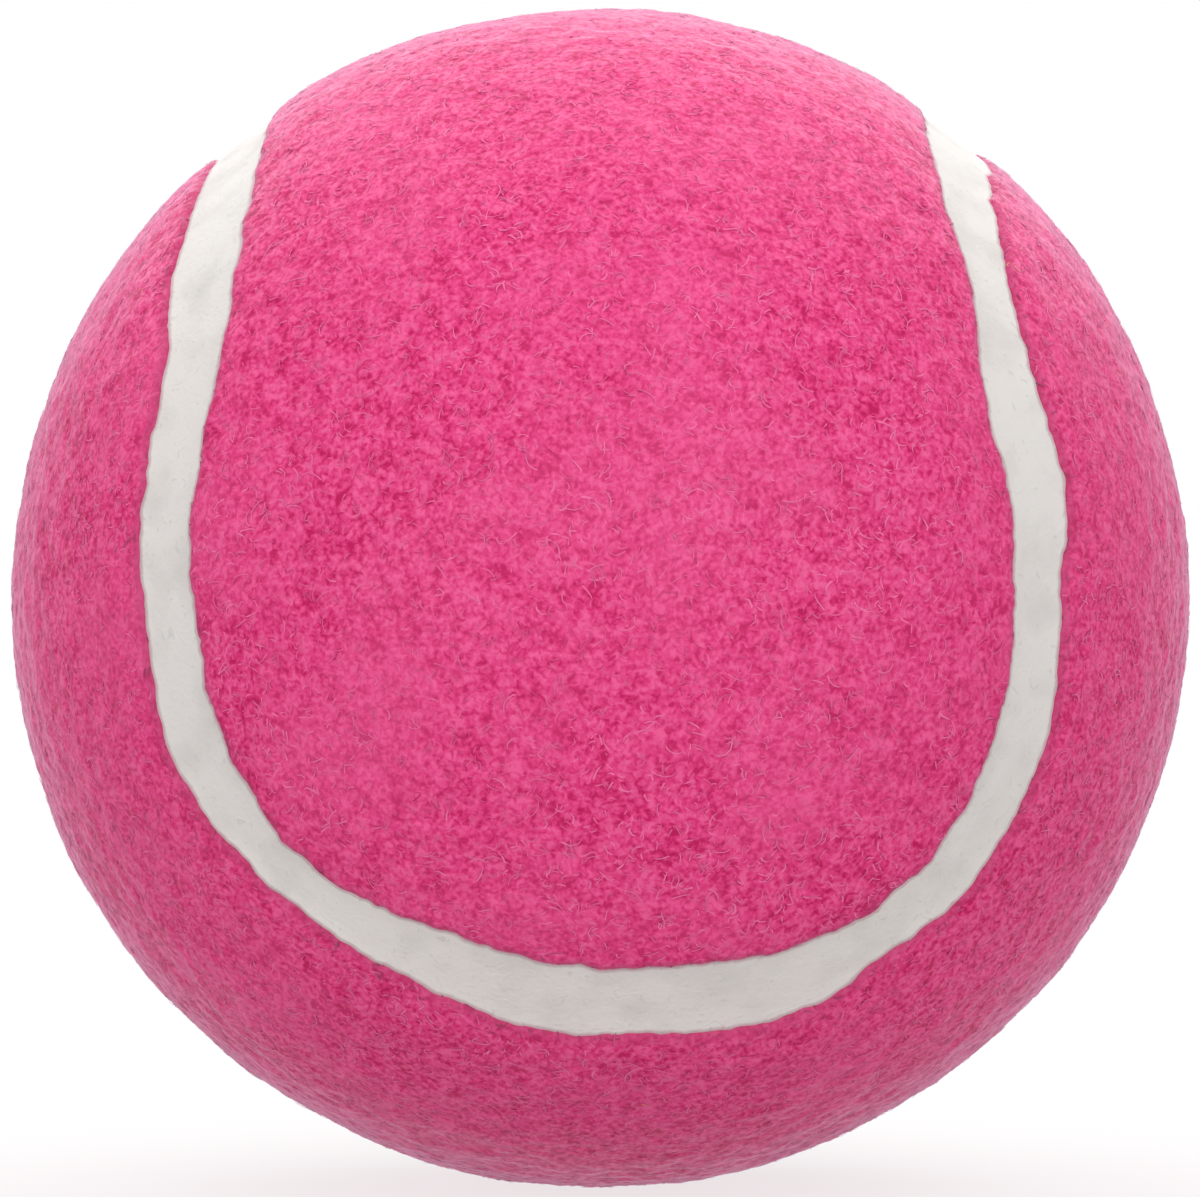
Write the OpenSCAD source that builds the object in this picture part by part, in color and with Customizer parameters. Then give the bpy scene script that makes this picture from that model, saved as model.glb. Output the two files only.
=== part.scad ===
// A hollow rubber ball covered by two dog-bone panels of felt, with a rubber seam between them.
// The origin is the ball's centre and +Z is up. The joint of the two half shells lies level.

/* [Ball] */
// Diameter over the raised nap
ball_d = 67; // [64:0.2:70]

/* [Core] */
// Wall of each rubber half shell
shell_wall = 3.3; // [2.6:0.1:4.4]
// Thickness of the cement between the rims of the half shells
joint_thickness = 0.3; // [0.2:0.05:0.6]
// Radius of the cement bead squeezed inwards along that joint
joint_bead_r = 0.6; // [0.4:0.1:1.2]
// Thickness of the cement coat between the core and the cover
coat_thickness = 0.2; // [0.1:0.05:0.4]

/* [Cover] */
// Thickness of the woven backing of each felt panel
backing_thickness = 0.6; // [0.4:0.1:1]
// Height of the raised nap above its backing
nap_height = 2.7; // [2.2:0.1:3.4]
// Radius of the nap's rounded edge beside the seam
nap_edge_r = 1.1; // [0.8:0.1:2]

/* [Seam] */
// Width of the seam rubber between the panels
seam_width = 4.5; // [3.4:0.1:6]
// Depth of the seam's face below the nap
seam_recess = 0.7; // [0.6:0.1:1.8]
// Degrees from the cover's middle plane to the centre of each lobe
lobe_angle = 8; // [4:0.5:12]

/* [Seam direction] */
// Degrees that the cover leans back about X
cover_lean = 12; // [0:1:45]
// Degrees that the cover rolls about Y
cover_roll = 1.8; // [-10:0.1:10]
// Degrees that the cover is turned about its own axis
cover_turn = 0.9; // [-10:0.1:10]

/* [Hidden] */
$fn = 128;

shell_color = "#3a3836";
joint_color = "#1f1e1d";
coat_color = "#c9bfa4";
backing_color = "#f1dfe4";
nap_color = "#e2447f";
seam_color = "#dedbd7";

// Length that every cut runs past what it cuts
overrun = 1;
// Degrees that a panel's dividing surface stays inside its lobes' edges, well within the seam
divide_angle = 1;
// Share of its radius by which the nap's rounding stands above the tangent place
edge_rise_share = 0.04;
// Length of the straight splice that bridges two arcs of the seam
splice_length = 1;
// Degrees by which each arc stops short of the middle of that splice
splice_angle = 0.5;
// Distance by which the splice is wider, on each side, than the arcs that run into it
splice_margin = 0.02;

// Spherical faces, from the outside in
nap_r = ball_d / 2;
seam_face_r = nap_r - seam_recess;
backing_r = nap_r - nap_height;
coat_r = backing_r - backing_thickness;
core_r = coat_r - coat_thickness;
cavity_r = core_r - shell_wall;
reach = nap_r + overrun;

// The seam is four equal circular arcs, one round each lobe. Each meets the next where both
// cross the cover's middle plane, and this is the angle of each arc's circle from its own axis.
lobe_spread = acos(-pow(sin(lobe_angle), 2)) / 2;
// Half of each arc's sweep, from the lobe's tip to the splice with the next
half_sweep = 90 + atan(sin(lobe_angle)) - splice_angle;
// Degrees from the cover's middle plane to the line across the seam at each splice
splice_tilt = atan(sqrt(2) * tan(lobe_angle));

// Centre of the nap's rounded edge, across and up from the middle of the seam
edge_x = seam_width / 2 + nap_edge_r;
edge_y = sqrt(pow(nap_r - nap_edge_r * (1 - edge_rise_share), 2) - pow(edge_x, 2));

// A ring-shaped area between two circles
module ring(outer_r, inner_r) {
    difference() {
        circle(outer_r);
        circle(inner_r);
    }
}

// A closed hollow sphere
module hollow_sphere(outer_r, inner_r) {
    difference() {
        sphere(outer_r);
        sphere(inner_r);
    }
}

// Turns the cover as a whole
module cover_frame() {
    rotate([-cover_lean, -cover_roll, 0])
        rotate([0, 0, cover_turn])
            children();
}

// Puts its child, drawn about +Z, on the axes of the top panel's two lobes
module top_lobes() {
    for (turn = [0, 180])
        rotate([0, 0, turn])
            rotate([90 + lobe_angle, 0, 0])
                children();
}

// Swaps the two panels: what is drawn for the top one lands on the bottom one
module swap_panels() {
    rotate([0, 0, 90])
        rotate([180, 0, 0])
            children();
}

// Runs an outline, drawn about +Y with the ball's centre at zero, along the whole seam. The
// first child runs round the four arcs, and the second is the same outline for the splices.
module along_seam() {
    module round_lobes()
        top_lobes()
            rotate_extrude(angle = 2 * half_sweep, start = -90 - half_sweep)
                rotate(-lobe_spread)
                    children();
    round_lobes() children(0);
    swap_panels() round_lobes() children(0);
    for (turn = [0, 180])
        for (side = [-1, 1])
            rotate([0, side * splice_tilt, turn - 90 - 45 * side])
                linear_extrude(splice_length, center = true)
                    children(1);
}

// Straight-sided slot between the cut edges of the cloth, with a margin all round
module slot_outline(margin) {
    slot_w = seam_width + 2 * margin;
    slot_h = reach - core_r + 2 * margin;
    translate([-slot_w / 2, core_r - margin])
        square([slot_w, slot_h]);
}

// The slot with the nap's rounded edges above it, with a margin all round
module channel_outline(margin) {
    slot_outline(margin);
    difference() {
        translate([-edge_x - margin, edge_y])
            square([2 * (edge_x + margin), reach + margin - edge_y]);
        for (side = [-1, 1])
            translate([side * edge_x, edge_y])
                circle(nap_edge_r - margin);
    }
}

// Everything that belongs to the top panel: its two lobes, and the upper half without the
// bottom panel's lobes. Its surface runs inside the seam everywhere.
module top_region() {
    module lobe_cones()
        top_lobes()
            cylinder(h = reach, r1 = 0, r2 = reach * tan(lobe_spread - divide_angle));
    difference() {
        translate([-reach, -reach, 0])
            cube([2 * reach, 2 * reach, reach]);
        swap_panels() lobe_cones();
    }
    lobe_cones();
}

// The top panel of one layer of the cover
module top_panel(outer_r, inner_r) {
    intersection() {
        difference() {
            hollow_sphere(outer_r, inner_r);
            along_seam() {
                channel_outline(0);
                channel_outline(splice_margin);
            }
        }
        top_region();
    }
}

// One moulded half of the core, with its flat rim half a joint above zero
module half_shell() {
    rotate_extrude()
        intersection() {
            ring(core_r, cavity_r);
            translate([0, joint_thickness / 2])
                square(reach);
        }
}

module upper_half_shell() {
    color(shell_color)
        half_shell();
}

module lower_half_shell() {
    color(shell_color)
        rotate([180, 0, 0])
            half_shell();
}

// Cement between the two rims, with the bead that the press squeezes inwards
module shell_joint_cement() {
    color(joint_color)
        rotate_extrude() {
            intersection() {
                ring(core_r, cavity_r);
                translate([0, -joint_thickness / 2])
                    square([reach, joint_thickness]);
            }
            intersection() {
                circle(cavity_r);
                translate([cavity_r, 0])
                    circle(joint_bead_r);
            }
        }
}

module cover_cement_coat() {
    color(coat_color)
        hollow_sphere(coat_r, core_r);
}

module top_panel_backing() {
    color(backing_color)
        cover_frame()
            top_panel(backing_r, coat_r);
}

module bottom_panel_backing() {
    color(backing_color)
        cover_frame()
            swap_panels()
                top_panel(backing_r, coat_r);
}

module top_panel_nap() {
    color(nap_color)
        cover_frame()
            top_panel(nap_r, backing_r);
}

module bottom_panel_nap() {
    color(nap_color)
        cover_frame()
            swap_panels()
                top_panel(nap_r, backing_r);
}

module seam_rubber() {
    color(seam_color)
        cover_frame()
            intersection() {
                hollow_sphere(seam_face_r, coat_r);
                along_seam() {
                    slot_outline(0);
                    slot_outline(splice_margin);
                }
            }
}

upper_half_shell();
lower_half_shell();
shell_joint_cement();
cover_cement_coat();
top_panel_backing();
bottom_panel_backing();
top_panel_nap();
bottom_panel_nap();
seam_rubber();
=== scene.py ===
import math

import bmesh
import bpy
import numpy as np
from bpy.props import FloatProperty, FloatVectorProperty, IntProperty, PointerProperty
from mathutils import Matrix, Vector, noise


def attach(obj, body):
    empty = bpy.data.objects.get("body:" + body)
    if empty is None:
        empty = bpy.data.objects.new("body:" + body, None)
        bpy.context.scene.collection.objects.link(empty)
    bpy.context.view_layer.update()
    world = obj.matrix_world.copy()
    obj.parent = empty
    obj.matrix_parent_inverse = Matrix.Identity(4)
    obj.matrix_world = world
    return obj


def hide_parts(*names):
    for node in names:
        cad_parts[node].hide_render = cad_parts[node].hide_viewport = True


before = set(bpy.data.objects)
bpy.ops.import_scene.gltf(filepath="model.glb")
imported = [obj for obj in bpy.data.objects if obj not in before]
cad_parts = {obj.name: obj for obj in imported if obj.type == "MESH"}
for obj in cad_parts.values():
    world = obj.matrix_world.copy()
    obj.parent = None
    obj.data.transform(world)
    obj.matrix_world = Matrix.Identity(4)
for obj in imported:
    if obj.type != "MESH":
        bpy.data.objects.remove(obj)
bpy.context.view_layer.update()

bl_info = {
    "name": "Felt-covered ball",
    "version": (1, 0, 0),
    "blender": (4, 5, 0),
    "location": "3D View > Sidebar > Felt ball",
    "description": "Dresses a hollow rubber ball with two felt panels and a rubber seam",
    "category": "Object",
}

MM = 0.001
BODY = "root"

# Panels: which side of the seam's middle line each one lies on
TOP, BOTTOM = 1, -1
PANELS = {TOP: "top_panel", BOTTOM: "bottom_panel"}


def node_radii(name):
    """Least and greatest distance of a CAD node's corners from the ball's centre, in mm."""
    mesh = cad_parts[name].data
    corners = np.empty(len(mesh.vertices) * 3)
    mesh.vertices.foreach_get("co", corners)
    reach = np.linalg.norm(corners.reshape(-1, 3), axis=1)
    return reach.min() / MM, reach.max() / MM


BACKING_R, NAP_R = node_radii("top_panel_nap")
COAT_R, SEAM_R = node_radii("seam_rubber")


def linear(hex_colour):
    """An sRGB hex colour as linear red, green and blue."""
    parts = [int(hex_colour[i : i + 2], 16) / 255 for i in (1, 3, 5)]
    return tuple(
        c / 12.92 if c <= 0.04045 else ((c + 0.055) / 1.055) ** 2.4 for c in parts
    )


def rgba(colour):
    """A linear colour with full alpha."""
    return (*colour, 1.0)


def length(name, mm, description):
    """A length property whose default is given in millimetres."""
    return FloatProperty(
        name=name, description=description, default=mm * MM, min=0, precision=5, unit="LENGTH"
    )


def angle(name, degrees, description):
    """An angle property whose default is given in degrees."""
    return FloatProperty(
        name=name, description=description, default=math.radians(degrees), subtype="ANGLE"
    )


def share(name, value, description):
    """A plain factor."""
    return FloatProperty(name=name, description=description, default=value, min=0, subtype="FACTOR")


def colour(name, hex_colour, description):
    """A colour property whose default is an sRGB hex value."""
    return FloatVectorProperty(
        name=name,
        description=description,
        default=linear(hex_colour),
        size=3,
        min=0,
        max=1,
        subtype="COLOR",
    )


class CoverSettings(bpy.types.PropertyGroup):
    """Where the seam runs. These repeat the solids' own angles."""

    lobe_angle: angle("Lobe angle", 8, "From the cover's middle plane to the centre of each lobe")
    lean: angle("Lean", 12, "How far the cover leans back about X")
    roll: angle("Roll", 1.8, "How far the cover rolls about Y")
    turn: angle("Turn", 0.9, "How far the cover is turned about its own axis")
    seam_width: length("Seam width", 4.5, "Width of the gap that the panels are cut to")
    wander: share("Wander", 1.0, "How much of the hand-laid seam's wandering is kept")


class NapSettings(bpy.types.PropertyGroup):
    """The raised felt."""

    sink: length("Sink", 0.22, "Depth of the felt's dense face below the tips of its fibres")
    shoulder: length("Shoulder", 0.5, "Radius of the felt's rounded edge beside the seam")
    fall: length("Fall", 0.2, "How far the felt comes down towards the seam ahead of its edge")
    fall_width: length("Fall width", 3.2, "How far from its cut edge the felt starts to come down")
    swell: length("Swell", 0.16, "Height of the slow swells of the cover")
    tuft: length("Tuft", 0.10, "Height of the tufts that the felt is matted into")
    pit: length("Pit", 0.18, "Depth of the small pits between the tufts")
    # Painted shade and highlight: the pit colour is laid where the felt's bump is lowest and the pale colour
    # where it is highest; the pale colour also comes in random paler patches
    pit_colour: colour("Pit colour", "#c81a5e", "Shaded wool down in the pits")
    mid_colour: colour("Wool colour", "#e83a80", "The dyed wool as most of it looks")
    pale_colour: colour("Pale wool colour", "#fa629e", "Wool brushed up to the light")
    # Painted shade: the felt is darkened towards this colour along its cut edge, where it meets the seam
    edge_colour: colour("Cut edge colour", "#b4446c", "Rubber-soaked wool along the cut edge")


class SeamSettings(bpy.types.PropertyGroup):
    """The rubber between the panels."""

    tuck: length("Tuck", 0.35, "How far the rubber runs on under the felt on each side")
    rise: length("Rise", 0.12, "Rise of the rubber from the middle of the seam to the felt on each side")
    dent: length("Dent", 0.03, "Depth of the shallow dents in its face")
    face_colour: colour("Rubber colour", "#f0ebe7", "The cured off-white rubber")
    stain_colour: colour("Stain colour", "#d4cfcb", "Dust and wool marks pressed into it")
    # Painted shade: the rubber is darkened towards this pinkish colour in a thin line where it meets the felt
    line_colour: colour("Bond colour", "#bc8494", "Wool dye pressed into the rubber beside the felt")


class FibreSettings(bpy.types.PropertyGroup):
    """The wool and nylon fibres that stand on the felt."""

    count: IntProperty(
        name="Count", description="Short fibres on each panel", default=24000, min=0, max=60000
    )
    thickness: length("Thickness", 0.12, "Thickness of a brushed-up bundle of fibres")
    length: length("Length", 0.85, "Middle length of a short fibre")
    hairs: IntProperty(
        name="Hairs", description="Long fibres on each panel", default=3000, min=0, max=9000
    )
    hair_thickness: length("Hair thickness", 0.085, "Thickness of a single long fibre")
    hair_length: length("Hair length", 1.4, "Middle length of a long fibre")
    darkest: colour("Darkest fibre", "#de2a70", "Fibres that lie deep")
    palest: colour("Palest fibre", "#ff7cb0", "Fibres that stand in the light")
    # Painted shade: fibres close to the seam take this darker colour, fully or half, along the felt's cut edge
    rim: colour("Rim fibre", "#c04c76", "Fibres soaked with rubber beside the seam")
    odd: colour("Odd fibre", "#f0a482", "Stray fibres of another dye")


class StageSettings(bpy.types.PropertyGroup):
    """Camera, light and floor."""

    distance: length("Camera distance", 288.1, "From the camera to the ball's centre")
    lens: FloatProperty(name="Lens", description="Focal length", default=151.7, unit="CAMERA")
    sky: share("Sky", 0.42, "Strength of the even light from all round")
    top_power: FloatProperty(
        name="Top light", description="Power of the wide light above and behind", default=2.9, unit="POWER"
    )
    side_power: FloatProperty(
        name="Side lights", description="Power of the light on either side in front", default=0.9, unit="POWER"
    )
    floor_colour: colour("Floor colour", "#f4f4f4", "The pale floor that the ball rests on")
    floor_glow: share("Floor glow", 0.42, "How strongly the floor lights the ball from below")


# The hand-laid seam as the front of the ball shows it: station in degrees along the seam from
# the lowest point of the front lobe, how far the seam is pushed towards the top panel, and
# its width, both in mm. The last stations lie on the far side and are guessed.
HAND_LAID = (
    (-168, 0.8, 3.8),
    (-156, 0.7, 4.4),
    (-144, 0.6, 4.6),
    (-133, 0.4, 5.0),
    (-121, 1.0, 4.0),
    (-108, 0.5, 3.9),
    (-96, 0.4, 3.7),
    (-84, 0.9, 3.5),
    (-68, 0.1, 4.0),
    (-60, 0.3, 3.6),
    (-51, 0.4, 2.8),
    (-42, 0.9, 2.7),
    (-34, 1.3, 3.3),
    (-25, 1.7, 3.9),
    (-10, 1.1, 4.7),
    (5, 1.0, 4.4),
    (13, 0.4, 5.1),
    (19, -0.1, 4.5),
    (25, -0.5, 4.8),
    (33, -0.4, 2.9),
    (46, -1.0, 3.7),
    (56, -0.5, 3.6),
    (65, -0.1, 4.1),
    (74, 0.5, 3.6),
    (86, 1.4, 3.4),
    (99, 0.5, 4.5),
    (108, 1.2, 4.4),
    (117, 1.2, 3.5),
    (126, 1.0, 2.6),
    (137, 1.0, 3.7),
    (147, 0.6, 3.7),
    (156, 0.1, 4.4),
    (167, -0.9, 4.4),
    (190, -0.3, 4.0),
    (215, 0.4, 4.7),
    (235, 0.1, 3.6),
    (260, -0.5, 4.3),
    (290, 0.3, 4.8),
    (315, 0.7, 3.8),
    (345, -0.4, 4.4),
    (370, -0.2, 3.6),
    (400, 0.5, 4.5),
    (425, 0.1, 4.9),
    (455, -0.5, 4.0),
    (480, 0.2, 4.5),
    (510, 0.7, 3.7),
    (540, 0.0, 4.6),
    (565, -0.4, 4.2),
    (595, 0.4, 4.6),
)
STATION_STEPS = 6000
SMOOTH_DEGREES = 2.2
# Wavelengths in mm and heights in mm of the felt's ragged edge
RAGGED_WAVES = ((4.2, 0.06), (2.1, 0.035), (1.0, 0.02))
WAVES_PER_BAND = 7


class SeamLine:
    """The seam on the ball: four circular arcs, one round each lobe, laid by hand."""

    def __init__(self, cover):
        sine, cosine = math.sin(cover.lobe_angle), math.cos(cover.lobe_angle)
        self.spread = math.acos(-(sine**2)) / 2
        self.half_sweep = math.pi / 2 + math.atan(sine)
        self.half_gap = cover.seam_width / MM / 2
        self.turned = (
            Matrix.Rotation(-cover.roll, 3, "Y")
            @ Matrix.Rotation(-cover.lean, 3, "X")
            @ Matrix.Rotation(cover.turn, 3, "Z")
        )
        # Lobes in the order in which the seam passes them: front, right, back, left
        self.axes = np.array(
            [(0, -cosine, -sine), (cosine, 0, sine), (0, cosine, -sine), (-cosine, 0, sine)]
        )
        self.tips = np.array(
            [(0, sine, -cosine), (-sine, 0, cosine), (0, -sine, -cosine), (sine, 0, cosine)]
        )
        self.sides = np.array([(1, 0, 0), (0, 1, 0), (-1, 0, 0), (0, -1, 0)], float)
        self.panels = np.array([TOP, BOTTOM, TOP, BOTTOM])
        self.turn = 8 * self.half_sweep
        self.stations = np.linspace(0, self.turn, STATION_STEPS, endpoint=False)
        table = np.array(HAND_LAID)
        self.middle = self.smoothed(table[:, 0], table[:, 1] * cover.wander)
        gap = 2 * self.half_gap
        self.half = self.smoothed(table[:, 0], gap + (table[:, 2] - gap) * cover.wander) / 2
        self.ragged = {side: self.ragged_edge(side) * cover.wander for side in PANELS}

    def smoothed(self, degrees, values):
        """Values at every station, joined smoothly round the loop."""
        plain = np.interp(self.stations, np.radians(degrees), values, period=self.turn)
        width = STATION_STEPS * math.radians(SMOOTH_DEGREES) / self.turn
        waves = np.fft.rfftfreq(STATION_STEPS)
        softened = np.fft.rfft(plain) * np.exp(-2 * (math.pi * waves * width) ** 2)
        return np.fft.irfft(softened, STATION_STEPS)

    def ragged_edge(self, side):
        """How far the felt's edge strays from its smooth line, in mm, at every station."""
        rng = np.random.default_rng(31 + side)
        loop_mm = 8 * self.half_sweep * math.sin(self.spread) * SEAM_R
        edge = np.zeros(STATION_STEPS)
        for wavelength, height in RAGGED_WAVES:
            turns = loop_mm / wavelength * rng.uniform(0.75, 1.3, WAVES_PER_BAND)
            phases = rng.uniform(0, 2 * math.pi, WAVES_PER_BAND)
            for count, phase in zip(np.round(turns), phases, strict=True):
                edge += height * np.cos(self.stations / self.turn * count * 2 * math.pi + phase)
        return edge * math.sqrt(2 / WAVES_PER_BAND)

    def place(self, directions):
        """For unit directions in the cover's own frame: signed distance in mm from the ideal
        middle line, positive on the top panel, station along the seam, and the direction in
        which that distance grows."""
        x, y, z = directions.T
        lobe = np.where(z < 0, np.where(y < 0, 0, 2), np.where(x > 0, 1, 3))
        axis, sign = self.axes[lobe], self.panels[lobe][:, None]
        cosine = np.clip((directions * axis).sum(1), -1, 1)
        distance = sign[:, 0] * (self.spread - np.arccos(cosine)) * SEAM_R
        sideways = (directions * self.sides[lobe]).sum(1)
        tipwards = (directions * self.tips[lobe]).sum(1)
        station = 2 * self.half_sweep * lobe + np.arctan2(sideways, tipwards)
        growing = sign * (axis - directions * cosine[:, None])
        growing /= np.maximum(np.linalg.norm(growing, axis=1), 1e-9)[:, None]
        return distance, station % self.turn, growing

    def read(self, values, station):
        """A value at any station along the loop."""
        return np.interp(station, self.stations, values, period=self.turn)

    def edge_line(self, station, side):
        """Distance in mm from the ideal middle line to a panel's own cut edge."""
        pushed = side * self.read(self.middle, station) + self.read(self.half, station)
        return pushed + self.read(self.ragged[side], station)

    def inside(self, directions, side):
        """How far inside its panel's cut edge each direction lies, in mm."""
        distance, station, _ = self.place(directions)
        return side * distance - self.edge_line(station, side)


def unit(vectors):
    """Vectors scaled to a length of one."""
    return vectors / np.linalg.norm(vectors, axis=-1, keepdims=True)


def rumple(points, size):
    """Smooth noise between about -1 and 1 whose swells are size mm wide."""
    return np.array([noise.noise(p) for p in (points / size).tolist()])


def new_object(name, mesh, materials):
    """A finished piece: shaded smooth, placed on the ball's body and given its finish."""
    mesh.shade_smooth()
    for material in materials:
        mesh.materials.append(material)
    piece = bpy.data.objects.new(name, mesh)
    bpy.context.scene.collection.objects.link(piece)
    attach(piece, BODY)
    return piece


def corners_of(mesh):
    """The mesh's corner places as an array."""
    places = np.empty(len(mesh.vertices) * 3)
    mesh.vertices.foreach_get("co", places)
    return places.reshape(-1, 3)


def put_corners(mesh, places):
    """Writes corner places back to the mesh."""
    mesh.vertices.foreach_set("co", places.ravel())
    mesh.update()


def set_attribute(mesh, name, values):
    """Stores one number per corner for a material to read."""
    mesh.attributes.new(name, "FLOAT", "POINT").data.foreach_set("value", values)


def node(tree, kind, inputs=None, **settings):
    """Adds a node with its settings. Inputs are values, or sockets to link from."""
    made = tree.nodes.new(kind)
    for key, value in settings.items():
        setattr(made, key, value)
    for key, value in (inputs or {}).items():
        if isinstance(value, bpy.types.NodeSocket):
            tree.links.new(value, made.inputs[key])
        else:
            made.inputs[key].default_value = value
    return made


def material(name):
    """A new material with its tree and its Principled BSDF."""
    made = bpy.data.materials.new(name)
    made.use_nodes = True
    return made, made.node_tree, made.node_tree.nodes["Principled BSDF"]


def grain(tree, place, size_mm, detail=2.0, warp=0.0):
    """Noise whose grains are size_mm wide, read on the piece's own coordinates."""
    return node(
        tree,
        "ShaderNodeTexNoise",
        {"Vector": place, "Scale": 1 / (size_mm * MM), "Detail": detail, "Distortion": warp},
    ).outputs["Fac"]


def ramp(tree, factor, stops):
    """Colours along a factor, as (position, linear colour) stops."""
    made = node(tree, "ShaderNodeValToRGB", {"Fac": factor})
    elements = made.color_ramp.elements
    for at, tint in stops[1:-1]:
        elements.new(at).color = rgba(tint)
    elements[0].position, elements[0].color = stops[0][0], rgba(stops[0][1])
    elements[-1].position, elements[-1].color = stops[-1][0], rgba(stops[-1][1])
    return made.outputs["Color"]


def spread(tree, factor, low, high, to_low=0.0, to_high=1.0):
    """Maps a factor from one range to another and holds it there."""
    values = {"Value": factor, "From Min": low, "From Max": high, "To Min": to_low, "To Max": to_high}
    return node(tree, "ShaderNodeMapRange", values).outputs["Result"]


def mixed(tree, factor, first, second):
    """Mixes two colours, each a socket or a linear colour."""
    made = node(tree, "ShaderNodeMix", data_type="RGBA")
    for socket, value in ((made.inputs[0], factor), (made.inputs[6], first), (made.inputs[7], second)):
        if isinstance(value, bpy.types.NodeSocket):
            tree.links.new(value, socket)
        else:
            socket.default_value = value if isinstance(value, float) else rgba(value)
    return made.outputs[2]


def maths(tree, operation, first, second):
    """One sum on two numbers or sockets."""
    return node(tree, "ShaderNodeMath", {0: first, 1: second}, operation=operation).outputs[0]


def bumped(tree, shader, height, depth_mm, strength=1.0):
    """Lets a height in 0 to 1 raise the surface by depth_mm."""
    made = node(
        tree, "ShaderNodeBump", {"Height": height, "Distance": depth_mm * MM, "Strength": strength}
    )
    tree.links.new(made.outputs["Normal"], shader.inputs["Normal"])


def pressed_felt(nap):
    """Wool and nylon felt, dyed and pressed: dull and matted into tufts. Its colour follows the bump's
    height, with painted shade in the pits and a painted highlight on the tufts, and painted shade along its
    cut edge.
    """
    made, tree, shader = material("pressed_wool_felt")
    place = node(tree, "ShaderNodeTexCoord").outputs["Object"]
    blotch = grain(tree, place, 9.0, detail=3.0)
    tuft = grain(tree, place, 1.0, detail=2.0, warp=0.3)
    spot = grain(tree, place, 0.30, detail=1.0, warp=0.5)
    level = maths(tree, "ADD", maths(tree, "MULTIPLY", tuft, 0.4), maths(tree, "MULTIPLY", spot, 0.6))
    # The same height as the bump picks the colour: painted shade in the pits and a painted highlight on the
    # raised tufts
    wool = ramp(
        tree,
        spread(tree, level, 0.36, 0.64),
        ((0.0, nap.pit_colour), (0.4, nap.mid_colour), (1.0, nap.pale_colour)),
    )
    brushed = mixed(tree, spread(tree, blotch, 0.42, 0.72, 0.0, 0.35), wool, nap.pale_colour)
    # Painted shade along the cut edge: within 0.8 mm of the seam the felt is mixed towards the edge colour,
    # most at the edge
    rim = node(tree, "ShaderNodeAttribute", attribute_name="inside_edge").outputs["Fac"]
    shade_darkened = spread(tree, rim, 0.0, 0.8, 0.8, 0.0)
    tree.links.new(mixed(tree, shade_darkened, brushed, nap.edge_colour), shader.inputs["Base Color"])
    tree.links.new(spread(tree, spot, 0.3, 0.7, 0.6, 0.45), shader.inputs["Roughness"])
    bumped(tree, shader, level, 0.05)
    shader.inputs["Specular IOR Level"].default_value = 0.15
    shader.inputs["Sheen Weight"].default_value = 1.0
    shader.inputs["Sheen Roughness"].default_value = 0.26
    shader.inputs["Sheen Tint"].default_value = rgba(linear("#ffd0f0"))
    return made


def dyed_fibre(name, tint):
    """One dye shade of wool fibre: a dull strand that glints softly along its side."""
    made, tree, shader = material(name)
    shader.inputs["Base Color"].default_value = rgba(tint)
    shader.inputs["Roughness"].default_value = 0.4
    shader.inputs["Specular IOR Level"].default_value = 0.05
    shader.inputs["Sheen Weight"].default_value = 0.85
    shader.inputs["Sheen Roughness"].default_value = 0.26
    shader.inputs["Sheen Tint"].default_value = rgba(linear("#ffd0f0"))
    return made


def cured_rubber(seam):
    """Natural rubber cured against a mould: matt, faintly pitted, marked by stray wool."""
    made, tree, shader = material("cured_seam_rubber")
    place = node(tree, "ShaderNodeTexCoord").outputs["Object"]
    cloud = grain(tree, place, 3.0, detail=4.0)
    pore = grain(tree, place, 0.30, detail=3.0)
    mark = grain(tree, place, 0.9, detail=4.0, warp=2.5)
    stained = mixed(tree, spread(tree, cloud, 0.45, 0.75, 0.0, 0.5), seam.face_colour, seam.stain_colour)
    marked = mixed(tree, spread(tree, mark, 0.62, 0.70, 0.0, 0.5), stained, seam.stain_colour)
    # Painted shade where the rubber meets the felt: a thin line mixed towards the bond colour, broken by the
    # marks
    rim = node(tree, "ShaderNodeAttribute", attribute_name="inside_edge").outputs["Fac"]
    dark = spread(tree, maths(tree, "ADD", rim, maths(tree, "MULTIPLY", mark, 0.2)), -0.05, 0.14, 0.0, 0.5)
    tree.links.new(mixed(tree, dark, marked, seam.line_colour), shader.inputs["Base Color"])
    tree.links.new(spread(tree, cloud, 0.3, 0.7, 0.5, 0.66), shader.inputs["Roughness"])
    height = maths(tree, "ADD", maths(tree, "MULTIPLY", pore, 0.4), maths(tree, "MULTIPLY", mark, 0.6))
    bumped(tree, shader, height, 0.06)
    shader.inputs["Specular IOR Level"].default_value = 0.2
    return made


def moulded_core_rubber():
    """Filled black rubber, moulded and buffed before the cover is glued on."""
    made, tree, shader = material("moulded_core_rubber")
    place = node(tree, "ShaderNodeTexCoord").outputs["Object"]
    scuff = grain(tree, place, 0.5, detail=4.0)
    stops = ((0.3, linear("#2f2d2c")), (0.7, linear("#45423f")))
    tree.links.new(ramp(tree, scuff, stops), shader.inputs["Base Color"])
    tree.links.new(spread(tree, scuff, 0.3, 0.7, 0.6, 0.8), shader.inputs["Roughness"])
    bumped(tree, shader, scuff, 0.08)
    return made


def dried_cement(name, dark, light):
    """Rubber cement, brushed on and cured: streaky and slightly glossy."""
    made, tree, shader = material(name)
    place = node(tree, "ShaderNodeTexCoord").outputs["Object"]
    streak = grain(tree, place, 2.0, detail=3.0, warp=1.5)
    tree.links.new(ramp(tree, streak, ((0.3, dark), (0.7, light))), shader.inputs["Base Color"])
    tree.links.new(spread(tree, streak, 0.3, 0.7, 0.35, 0.55), shader.inputs["Roughness"])
    bumped(tree, shader, streak, 0.05)
    return made


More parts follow.
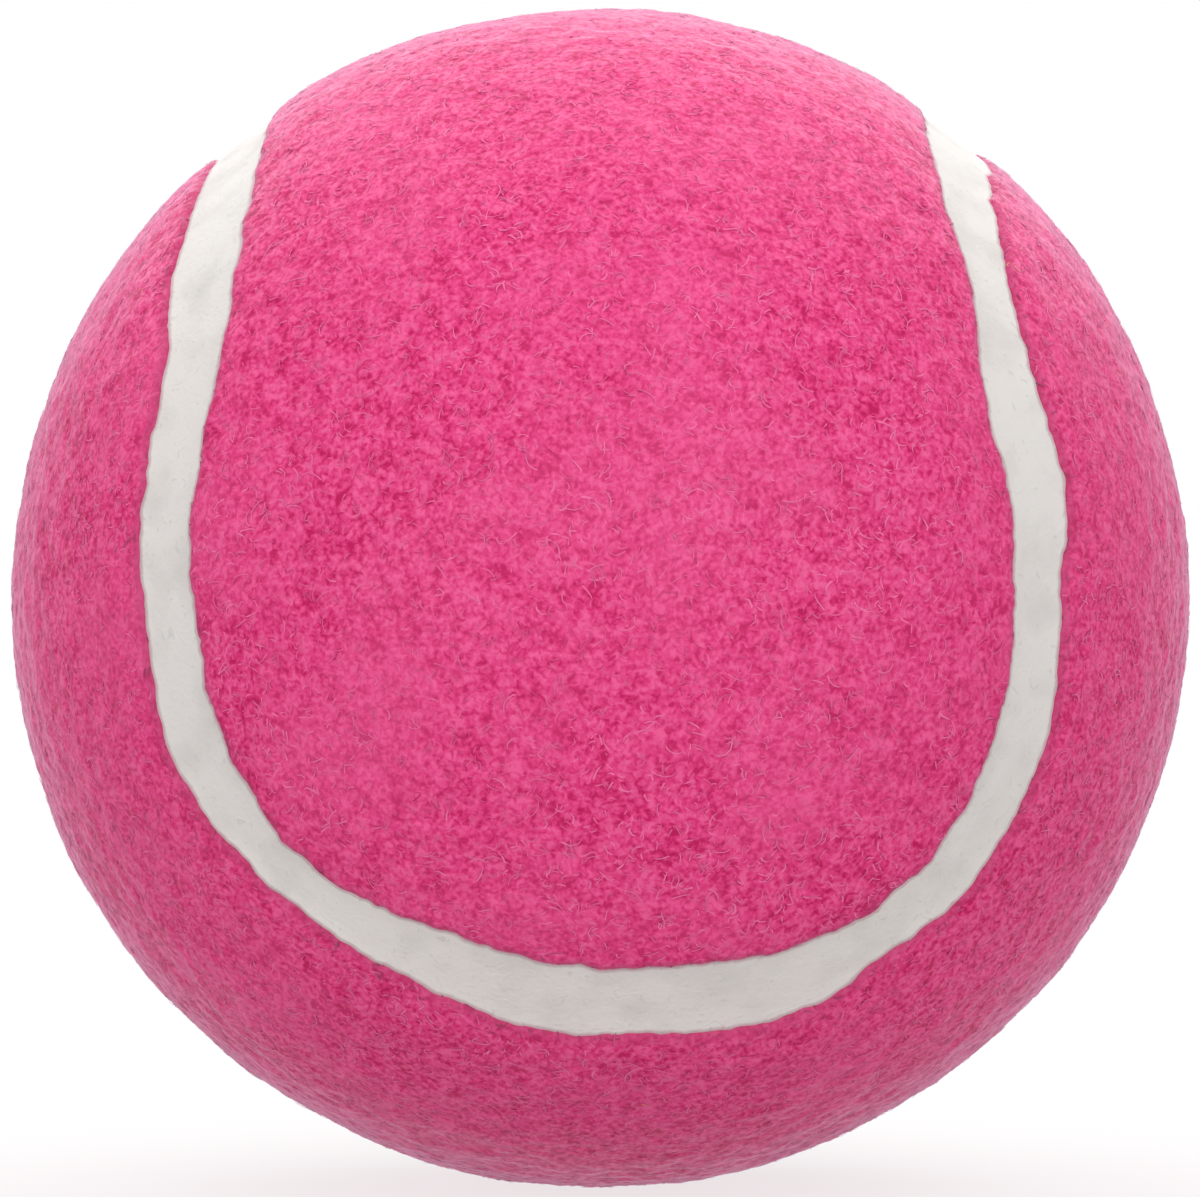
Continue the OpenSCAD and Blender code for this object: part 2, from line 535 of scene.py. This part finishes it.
def woven_backing():
    """Cotton backing cloth with wool punched through it: a plain weave of pinkish threads."""
    made, tree, shader = material("woven_cotton_backing")
    place = node(tree, "ShaderNodeTexCoord").outputs["Object"]
    thread = 2 * math.pi / (0.55 * MM)
    across = [
        node(
            tree,
            "ShaderNodeTexWave",
            {"Vector": place, "Scale": thread / 20, "Distortion": 0.6, "Detail": 1.0},
            bands_direction=direction,
        ).outputs["Fac"]
        for direction in ("X", "Z")
    ]
    weave = maths(tree, "MULTIPLY", across[0], across[1])
    stops = ((0.0, linear("#d9b3c0")), (1.0, linear("#f6e9ee")))
    tree.links.new(ramp(tree, weave, stops), shader.inputs["Base Color"])
    tree.links.new(spread(tree, weave, 0.0, 1.0, 1.0, 0.85), shader.inputs["Roughness"])
    bumped(tree, shader, weave, 0.15)
    return made


# Faces of the felt's dense face: the sphere is cut at this division and then each edge of the
# outer face is cut again into four, which gives corners about 0.3 mm apart
COARSE_DIVISION = 6
FINE_CUTS = 3
# Radius that marks the inner corners while a panel is being cut
INNER_MARK = 0.5
# How far the fibres' shading leans to the felt's own face, so that they read as one soft mass
NAP_LEAN = 0.96
# How far from the seam a panel still follows the hand-laid edge, in mm
FOLLOW_MM = 7.0


def cut_panel(line, side):
    """Half of a sphere of radius one, cut along a panel's ideal edge, with an inner face."""
    bm = bmesh.new()
    bmesh.ops.create_icosphere(bm, subdivisions=COARSE_DIVISION, radius=1)
    inset = line.half_gap / SEAM_R
    for lobe in range(4):
        own = bool(line.panels[lobe] == side)
        axis = line.axes[lobe]
        below = line.panels[lobe] == TOP
        ahead = line.axes[lobe][:2]
        chosen = [
            face
            for face in bm.faces
            if (face.calc_center_median().z < 0) == below
            and face.calc_center_median().xy.dot(ahead) > 0
        ]
        parts = set(chosen)
        for face in chosen:
            parts.update(face.edges)
            parts.update(face.verts)
        opening = line.spread + (-inset if own else inset)
        bmesh.ops.bisect_plane(
            bm,
            geom=list(parts),
            dist=1e-6,
            plane_co=axis * math.cos(opening),
            plane_no=axis,
            clear_inner=own,
            clear_outer=not own,
        )
    bmesh.ops.remove_doubles(bm, verts=bm.verts, dist=0.0008)
    bmesh.ops.triangulate(bm, faces=bm.faces)
    outer = bmesh.ops.extrude_face_region(bm, geom=bm.faces[:], use_keep_orig=True)["geom"]
    moved = {part for part in outer if isinstance(part, bmesh.types.BMVert)}
    inner = [vert for vert in bm.verts if vert not in moved]
    bmesh.ops.scale(bm, vec=(INNER_MARK,) * 3, verts=inner)
    bmesh.ops.recalc_face_normals(bm, faces=bm.faces)
    edges = [part for part in outer if isinstance(part, bmesh.types.BMEdge)]
    bmesh.ops.subdivide_edges(bm, edges=edges, cuts=FINE_CUTS, use_grid_fill=True)
    bmesh.ops.triangulate(bm, faces=bm.faces)
    mesh = bpy.data.meshes.new(PANELS[side] + "_nap")
    bm.to_mesh(mesh)
    bm.free()
    return mesh


def follow_edge(line, directions, side):
    """Moves directions so that the panel's ideal edge lands on its hand-laid one."""
    distance, station, growing = line.place(directions)
    depth = side * distance - line.half_gap
    near = np.clip(1 - depth / FOLLOW_MM, 0, 1)
    near = near * near * (3 - 2 * near)
    push = (line.edge_line(station, side) - line.half_gap) * near * side
    return unit(directions + growing * (push / SEAM_R)[:, None])


def felt_height(inside, nap):
    """Height in mm of the felt's face, below its level, at a distance inside its edge."""
    shoulder = nap.shoulder / MM
    reach = np.clip(shoulder - inside, 0, shoulder)
    fall = nap.fall / MM * np.clip(1 - inside * MM / nap.fall_width, 0, 1) ** 2
    return np.sqrt(shoulder**2 - reach**2) - shoulder - fall


def felt_relief(directions, nap):
    """Swells, tufts and pits of the felt, in mm."""
    points = directions * NAP_R
    swell = rumple(points, 11.0) * nap.swell / MM
    tuft = rumple(points, 2.4) * nap.tuft / MM
    pits = rumple(points + 50.0, 0.8)
    return swell + tuft + pits * nap.pit / MM / 2


def build_panel(line, side, nap, felt):
    """One felt panel as a closed piece."""
    mesh = cut_panel(line, side)
    marked = corners_of(mesh)
    outer = np.linalg.norm(marked, axis=1) > (1 + INNER_MARK) / 2
    directions = follow_edge(line, unit(marked), side)
    inside = np.maximum(line.inside(directions, side), 0)
    radii = np.full(len(directions), BACKING_R)
    level = NAP_R - nap.sink / MM + felt_height(inside, nap)
    relief = felt_relief(directions[outer], nap) * np.clip(inside[outer] * MM / nap.shoulder, 0, 1)
    radii[outer] = level[outer] + relief
    turned = directions @ np.array(line.turned).T
    put_corners(mesh, turned * radii[:, None] * MM)
    set_attribute(mesh, "inside_edge", inside)
    piece = new_object(PANELS[side] + "_felt", mesh, [felt])
    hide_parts(PANELS[side] + "_nap")
    return piece


# Points across the seam's face, steps of the spin round each arc, and cuts of each step
SEAM_POINTS = 22
SEAM_STEPS = 60
SEAM_CUTS = 4


def seam_strip(line, seam):
    """The seam's rubber as a closed band of radius one, spun round each lobe in turn."""
    bm = bmesh.new()
    half = (line.half_gap + seam.tuck / MM) / SEAM_R
    for lobe in range(4):
        axis, tip = line.axes[lobe], line.tips[lobe]
        across = np.linspace(-half, half, SEAM_POINTS)
        face = [np.cos(line.spread + a) * axis + np.sin(line.spread + a) * tip for a in across]
        outline = face + [INNER_MARK * point for point in face[::-1]]
        verts = [bm.verts.new(point) for point in outline]
        edges = [bm.edges.new((verts[i - 1], verts[i])) for i in range(len(verts))]
        start = Matrix.Rotation(-line.half_sweep, 3, axis)
        bmesh.ops.rotate(bm, verts=verts, cent=(0, 0, 0), matrix=start)
        bmesh.ops.spin(
            bm,
            geom=verts + edges,
            cent=(0, 0, 0),
            axis=axis,
            angle=2 * line.half_sweep,
            steps=SEAM_STEPS,
        )
    bmesh.ops.remove_doubles(bm, verts=bm.verts, dist=1e-5)
    bm.verts.index_update()
    _, station, _ = line.place(unit(np.array([vert.co for vert in bm.verts])))
    runs = [
        edge
        for edge in bm.edges
        if abs(math.sin((station[edge.verts[0].index] - station[edge.verts[1].index]) / 2)) > 1e-3
    ]
    bmesh.ops.subdivide_edges(bm, edges=runs, cuts=SEAM_CUTS)
    bmesh.ops.recalc_face_normals(bm, faces=bm.faces)
    mesh = bpy.data.meshes.new("seam_rubber")
    bm.to_mesh(mesh)
    bm.free()
    return mesh


def build_seam(line, seam, rubber):
    """The rubber seam as one closed loop."""
    mesh = seam_strip(line, seam)
    marked = corners_of(mesh)
    outer = np.linalg.norm(marked, axis=1) > (1 + INNER_MARK) / 2
    directions = unit(marked)
    distance, station, growing = line.place(directions)
    side = np.where(distance > 0, TOP, BOTTOM)
    edge = np.where(side > 0, line.edge_line(station, TOP), line.edge_line(station, BOTTOM))
    middle = line.read(line.middle, station)
    from_middle = distance / line.half_gap
    target = middle + from_middle * np.where(side > 0, edge - middle, edge + middle)
    directions = unit(directions + growing * ((target - distance) / SEAM_R)[:, None])
    points = directions * SEAM_R
    dents = rumple(points, 2.6) + 0.6 * rumple(points + 20.0, 0.9)
    rise = seam.rise / MM * np.clip(np.abs(from_middle), 0, 1) ** 3
    radii = np.where(outer, SEAM_R + rise + dents * seam.dent / MM, COAT_R)
    put_corners(mesh, directions @ np.array(line.turned).T * radii[:, None] * MM)
    set_attribute(mesh, "inside_edge", (np.abs(from_middle) - 1) * line.half_gap)
    piece = new_object("seam_band", mesh, [rubber])
    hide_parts("seam_rubber")
    return piece


FIBRE_SHAPES = 24
SHADES = 7
# Distances from the cut edge, in mm, up to which fibres take the full and the half painted shade of the cut
# edge
RIM_MM = (0.3, 0.75)
MOST_TRIANGLES = 190000
FIBRE_ROOT = -0.05
TIP_THICKNESS = 0.6
# Directions from the ball's centre in which fibres of another dye are caught in the felt, two
# of them as the front shows them, and how near a fibre's root must be to take that dye
ODD_SPOTS = ((0.07, -0.593, -0.802), (0.669, -0.5, 0.55), (-0.5, 0.6, 0.62), (0.3, 0.8, -0.52))
ODD_REACH = 0.014
# Height of a strand's section as a share of a round one, so that it lies in the felt
FLATNESS = 0.22


def fibre_shape(rng, lengths, length_mm, thickness_mm, lift_mm):
    """One curly fibre in millimetres, along X and close to the XY plane: a three-sided strand
    of so many lengths, the last of which ends in a point. Its root dips below the plane, its
    middle rises and its tip comes down again."""
    bm = bmesh.new()
    bmesh.ops.create_circle(bm, cap_ends=True, segments=3, radius=thickness_mm / 2)
    ridge_up = Matrix.Rotation(math.pi / 2, 3, "Y") @ Matrix.Rotation(math.pi / 2, 3, "Z")
    bmesh.ops.rotate(bm, verts=bm.verts, cent=(0, 0, 0), matrix=ridge_up)
    bmesh.ops.scale(bm, vec=(1, 1, FLATNESS), verts=bm.verts)
    cap = bm.faces[:][0]
    step = length_mm / lengths
    heading = rng.uniform(-0.4, 0.4)
    bend = rng.uniform(0.8, 2.8) * rng.choice((-1, 1)) / lengths
    spot = Vector((0, 0, FIBRE_ROOT))
    bmesh.ops.translate(bm, verts=bm.verts, vec=spot)
    taper = TIP_THICKNESS ** (1 / lengths)
    for i in range(1, lengths + 1):
        cap = bmesh.ops.extrude_discrete_faces(bm, faces=[cap])["faces"][0]
        turn = bend + rng.uniform(-1.2, 1.2) / lengths
        rise = lift_mm * math.sin(math.pi * i / lengths * 0.9) + FIBRE_ROOT * (1 - i / lengths)
        forward = Vector((math.cos(heading), math.sin(heading), 0)) * step
        forward.z = rise - spot.z
        bmesh.ops.translate(bm, verts=cap.verts, vec=forward)
        spot += forward
        bmesh.ops.rotate(bm, verts=cap.verts, cent=spot, matrix=Matrix.Rotation(turn, 3, "Z"))
        bmesh.ops.scale(bm, vec=(taper,) * 3, verts=cap.verts, space=Matrix.Translation(-spot))
        heading += turn
    bmesh.ops.pointmerge(bm, verts=cap.verts, merge_co=spot)
    bmesh.ops.holes_fill(bm, edges=bm.edges, sides=3)
    bmesh.ops.recalc_face_normals(bm, faces=bm.faces)
    bmesh.ops.triangulate(bm, faces=bm.faces, quad_method="FIXED")
    bm.verts.index_update()
    bm.normal_update()
    corners = np.array([vert.co for vert in bm.verts])
    normals = np.array([vert.normal for vert in bm.verts])
    faces = np.array([[vert.index for vert in face.verts] for face in bm.faces])
    bm.free()
    return corners, normals, faces


def fibre_shapes(seed, lengths, length_mm, thickness_mm, lift_mm):
    """A set of different fibres that share one order of corners and faces."""
    rng = np.random.default_rng(seed)
    made = [
        fibre_shape(
            rng,
            lengths,
            length_mm * rng.uniform(0.7, 1.2),
            thickness_mm * rng.uniform(0.75, 1.2),
            lift_mm * rng.uniform(0.2, 1.2),
        )
        for _ in range(FIBRE_SHAPES)
    ]
    corners, normals, faces = zip(*made, strict=True)
    return np.array(corners), np.array(normals), faces[0]


def roots_on(piece, count, rng):
    """Places on a felt panel's outer face, evenly scattered over its area."""
    mesh = piece.data
    corners = corners_of(mesh) / MM
    mesh.calc_loop_triangles()
    triangles = np.empty(len(mesh.loop_triangles) * 3, int)
    mesh.loop_triangles.foreach_get("vertices", triangles)
    abc = corners[triangles.reshape(-1, 3)]
    area = np.linalg.norm(np.cross(abc[:, 1] - abc[:, 0], abc[:, 2] - abc[:, 0]), axis=1)
    area[np.linalg.norm(abc, axis=2).min(1) < SEAM_R - 0.5] = 0
    chosen = rng.choice(len(abc), count, p=area / area.sum())
    first, second = rng.uniform(size=(2, count, 1))
    flip = first + second > 1
    first, second = np.where(flip, 1 - first, first), np.where(flip, 1 - second, second)
    base, along, up = (abc[chosen, i] for i in range(3))
    return base + first * (along - base) + second * (up - base)


def lay_fibres(line, side, nap, roots, shapes, normals, rng, scales):
    """Corner places in mm and corner normals of one fibre at each root, laid over the felt."""
    turned = np.array(line.turned)
    local = roots @ turned
    upward = unit(local)
    ground = NAP_R - nap.sink / MM
    inside = np.maximum(line.inside(upward, side), 0)
    relief = np.linalg.norm(local, axis=1) - ground - felt_height(inside, nap)
    tangent = unit(np.cross(upward, rng.normal(size=upward.shape)))
    frames = np.stack([tangent, np.cross(upward, tangent), upward], axis=1)
    kind = rng.integers(len(shapes), size=len(roots))
    shape = shapes[kind] * scales[:, None, None]
    flat = shape[..., :2] @ frames[:, :2]
    directions = unit(upward[:, None] + flat / NAP_R)
    depth = np.maximum(line.inside(directions.reshape(-1, 3), side), 0)
    level = ground + felt_height(depth, nap).reshape(directions.shape[:2])
    radii = level + relief[:, None] + shape[..., 2]
    leaning = unit(normals[kind] @ frames * (1 - NAP_LEAN) + directions * NAP_LEAN)
    return (directions * radii[..., None]) @ turned.T, leaning @ turned.T


def strands_mesh(name, places, normals, faces, shades):
    """Many fibres as one mesh, each with its own dye shade."""
    count, corners = places.shape[:2]
    mesh = bpy.data.meshes.new(name)
    mesh.vertices.add(count * corners)
    mesh.vertices.foreach_set("co", (places * MM).ravel())
    indices = faces[None] + corners * np.arange(count)[:, None, None]
    mesh.loops.add(indices.size)
    mesh.loops.foreach_set("vertex_index", indices.ravel())
    mesh.polygons.add(indices.size // 3)
    mesh.polygons.foreach_set("loop_start", np.arange(0, indices.size, 3))
    mesh.polygons.foreach_set("material_index", np.repeat(shades, len(faces)))
    mesh.update(calc_edges=True)
    mesh.normals_split_custom_set_from_vertices(normals.reshape(-1, 3).tolist())
    return mesh


def shade_of(roots, inside, rng, paler):
    """Which dye shade each fibre takes: patches of paler and darker wool, and chance. Fibres
    close to the cut edge take the two shades after the others: painted shade along the seam."""
    patch = rumple(roots, 9.0) * 0.45 + rumple(roots + 90.0, 2.4) * 0.35 + rumple(roots, 0.8) * 0.4
    value = 0.66 + paler + patch + rng.normal(0, 0.10, len(roots))
    shade = np.clip((value * SHADES).astype(int), 0, SHADES - 1)
    nearness = rng.uniform(0.6, 1.4, len(roots)) * inside
    shade[nearness < RIM_MM[1]] = SHADES + 1
    shade[nearness < RIM_MM[0]] = SHADES
    return shade


def build_fibres(line, side, nap, fibre, felt, dyes):
    """The brushed-up fibres of one panel, in pieces of a few thousand."""
    rng = np.random.default_rng(7 + side)
    kinds = (
        ("nap", fibre.count, 3, fibre.length, fibre.thickness, 0.05, 0.0),
        ("hairs", fibre.hairs, 5, fibre.hair_length, fibre.hair_thickness, 0.07, 0.2),
    )
    for label, count, lengths, reach, thickness, lift, paler in kinds:
        shapes, normals, faces = fibre_shapes(3, lengths, reach / MM, thickness / MM, lift)
        roots = roots_on(felt, count, rng)
        scales = rng.uniform(0.7, 1.25, len(roots))
        places, leaning = lay_fibres(line, side, nap, roots, shapes, normals, rng, scales)
        inside = line.inside(unit(roots @ np.array(line.turned)), side)
        shades = shade_of(roots, inside, rng, paler)
        for spot in ODD_SPOTS:
            shades[np.linalg.norm(unit(roots) - spot, axis=1) < ODD_REACH] = SHADES + 2
        pieces = math.ceil(len(roots) * len(faces) / MOST_TRIANGLES)
        for i in range(pieces):
            part = slice(i, None, pieces)
            name = f"{PANELS[side]}_{label}_{i + 1}"
            mesh = strands_mesh(name, places[part], leaning[part], faces, shades[part])
            new_object(name, mesh, dyes)


def aim(thing, target):
    """Turns a lamp so that it shines at a place."""
    thing.rotation_euler = (Vector(target) - thing.location).to_track_quat("-Z", "Y").to_euler()


def seen_directly(tree):
    """One where the camera, a reflection or a see-through part looks, and zero for plain light."""
    path = node(tree, "ShaderNodeLightPath").outputs
    mirrored = maths(tree, "MAXIMUM", path["Is Glossy Ray"], path["Is Transmission Ray"])
    return maths(tree, "MAXIMUM", path["Is Camera Ray"], mirrored)


class BALL_OT_inner_layers(bpy.types.Operator):
    """Finish the core, its joint, the cement and the backing cloth"""

    bl_idname = "ball.inner_layers"
    bl_label = "Inner layers"

    def execute(self, context):
        finishes = {
            "upper_half_shell": moulded_core_rubber(),
            "shell_joint_cement": dried_cement("joint_cement", linear("#1a1918"), linear("#2a2826")),
            "cover_cement_coat": dried_cement("cover_cement", linear("#b9ab8b"), linear("#d6cab0")),
            "top_panel_backing": woven_backing(),
        }
        finishes["lower_half_shell"] = finishes["upper_half_shell"]
        finishes["bottom_panel_backing"] = finishes["top_panel_backing"]
        for name, finish in finishes.items():
            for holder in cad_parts[name].material_slots:
                holder.material = finish
        return {"FINISHED"}


class BALL_OT_felt_panels(bpy.types.Operator):
    """Model the two felt panels"""

    bl_idname = "ball.felt_panels"
    bl_label = "Felt panels"

    def execute(self, context):
        scene = context.scene
        line = SeamLine(scene.ball_cover)
        felt = pressed_felt(scene.ball_nap)
        for side in PANELS:
            build_panel(line, side, scene.ball_nap, felt)
        return {"FINISHED"}


class BALL_OT_seam_band(bpy.types.Operator):
    """Model the rubber seam between the panels"""

    bl_idname = "ball.seam_band"
    bl_label = "Seam rubber"

    def execute(self, context):
        scene = context.scene
        build_seam(SeamLine(scene.ball_cover), scene.ball_seam, cured_rubber(scene.ball_seam))
        return {"FINISHED"}


class BALL_OT_fibres(bpy.types.Operator):
    """Lay the brushed-up fibres over the felt"""

    bl_idname = "ball.fibres"
    bl_label = "Fibres"

    def execute(self, context):
        scene = context.scene
        line = SeamLine(scene.ball_cover)
        fibre = scene.ball_fibre
        dark, pale = np.array(fibre.darkest), np.array(fibre.palest)
        dyes = [
            dyed_fibre(f"wool_fibre_{i + 1}", tuple(dark + (pale - dark) * (i / (SHADES - 1))))
            for i in range(SHADES)
        ]
        # Two darker dyes for fibres next to the seam: painted shade along the felt's cut edge
        rim = np.array(fibre.rim)
        dyes.append(dyed_fibre("edge_shaded_fibre", tuple(rim)))
        dyes.append(dyed_fibre("half_edge_shaded_fibre", tuple((rim + (dark + pale) / 2) / 2)))
        dyes.append(dyed_fibre("odd_fibre", tuple(fibre.odd)))
        for side in PANELS:
            felt = scene.objects[PANELS[side] + "_felt"]
            build_fibres(line, side, scene.ball_nap, fibre, felt, dyes)
        return {"FINISHED"}


FLOOR_SIZE = 4.0
# Share of the floor that glows by itself under the ball, and the distances from the ball's
# centre over which that share rises to all of it
FLOOR_GLOW_SHARE = 0.75
SHADOW_REACH = (0.05, 0.14)
SENSOR_MM = 36.0


def add_camera(context, stage):
    """The photograph's view: level with the ball's centre, from the front."""
    data = bpy.data.cameras.new("camera")
    data.sensor_width = SENSOR_MM
    data.lens = stage.lens
    data.clip_start = 0.01
    camera = bpy.data.objects.new("camera", data)
    camera.location = (0, -stage.distance, 0)
    camera.rotation_euler = (math.pi / 2, 0, 0)
    context.scene.collection.objects.link(camera)
    context.scene.camera = camera


def add_lamp(context, name, place, size, power):
    """A large soft lamp, so wide and so high, that shines at the ball's centre."""
    data = bpy.data.lights.new(name, "AREA")
    data.shape = "RECTANGLE"
    data.size, data.size_y = size
    data.energy = power
    lamp = bpy.data.objects.new(name, data)
    lamp.location = place
    aim(lamp, (0, 0, 0))
    context.scene.collection.objects.link(lamp)


def add_sky(context, strength):
    """Even light from all round, which the camera sees as plain white."""
    world = bpy.data.worlds.new("studio")
    world.use_nodes = True
    tree = world.node_tree
    sky = tree.nodes["Background"]
    seen = seen_directly(tree)
    tree.links.new(spread(tree, seen, 0.0, 1.0, strength, 1.0), sky.inputs["Strength"])
    sky.inputs["Color"].default_value = (1, 1, 1, 1)
    context.scene.world = world


def add_floor(context, stage):
    """A pale floor just under the ball, white to the camera but for the ball's soft shadow."""
    bm = bmesh.new()
    bmesh.ops.create_grid(bm, x_segments=1, y_segments=1, size=FLOOR_SIZE / 2)
    bmesh.ops.translate(bm, verts=bm.verts, vec=(0, 0, -NAP_R * MM))
    mesh = bpy.data.meshes.new("floor")
    bm.to_mesh(mesh)
    bm.free()
    made, tree, shader = material("pale_floor")
    shader.inputs["Base Color"].default_value = rgba(stage.floor_colour)
    shader.inputs["Roughness"].default_value = 0.9
    shader.inputs["Specular IOR Level"].default_value = 0.0
    glow = spread(tree, seen_directly(tree), 0.0, 1.0, stage.floor_glow, 1.0)
    white = node(tree, "ShaderNodeEmission", {"Strength": glow})
    place = node(tree, "ShaderNodeTexCoord").outputs["Object"]
    away = node(tree, "ShaderNodeVectorMath", {0: place}, operation="LENGTH").outputs["Value"]
    share_lit = spread(tree, away, *SHADOW_REACH, FLOOR_GLOW_SHARE, 1.0)
    both = node(tree, "ShaderNodeMixShader", {0: share_lit, 1: shader.outputs[0], 2: white.outputs[0]})
    tree.links.new(both.outputs[0], tree.nodes["Material Output"].inputs["Surface"])
    mesh.materials.append(made)
    floor = bpy.data.objects.new("floor", mesh)
    context.scene.collection.objects.link(floor)


class BALL_OT_stage(bpy.types.Operator):
    """Set up the camera, the light and the floor"""

    bl_idname = "ball.stage"
    bl_label = "Stage"

    def execute(self, context):
        stage = context.scene.ball_stage
        add_camera(context, stage)
        add_sky(context, stage.sky)
        add_lamp(context, "top_lamp", (0, 0.23, 0.38), (0.9, 0.6), stage.top_power)
        add_lamp(context, "left_lamp", (-0.26, -0.457, 0.165), (0.4, 0.4), stage.side_power)
        add_lamp(context, "right_lamp", (0.26, -0.457, 0.165), (0.4, 0.4), stage.side_power)
        add_floor(context, stage)
        context.scene.view_settings.view_transform = "Standard"
        return {"FINISHED"}


OPERATORS = (
    BALL_OT_inner_layers,
    BALL_OT_felt_panels,
    BALL_OT_seam_band,
    BALL_OT_fibres,
    BALL_OT_stage,
)
SETTINGS = {
    "ball_cover": CoverSettings,
    "ball_nap": NapSettings,
    "ball_seam": SeamSettings,
    "ball_fibre": FibreSettings,
    "ball_stage": StageSettings,
}


class BALL_PT_build(bpy.types.Panel):
    """Lists the steps that dress the ball"""

    bl_label = "Felt ball"
    bl_idname = "BALL_PT_build"
    bl_space_type = "VIEW_3D"
    bl_region_type = "UI"
    bl_category = "Felt ball"

    def draw(self, context):
        for step in OPERATORS:
            self.layout.operator(step.bl_idname)


def register():
    for group in SETTINGS.values():
        bpy.utils.register_class(group)
    for name, group in SETTINGS.items():
        setattr(bpy.types.Scene, name, PointerProperty(type=group))
    for step in (*OPERATORS, BALL_PT_build):
        bpy.utils.register_class(step)


def unregister():
    for step in (*OPERATORS, BALL_PT_build):
        bpy.utils.unregister_class(step)
    for name, group in SETTINGS.items():
        delattr(bpy.types.Scene, name)
        bpy.utils.unregister_class(group)


def main():
    register()
    bpy.ops.ball.inner_layers()
    bpy.ops.ball.felt_panels()
    bpy.ops.ball.seam_band()
    bpy.ops.ball.fibres()
    bpy.ops.ball.stage()


if __name__ == "__main__":
    main()
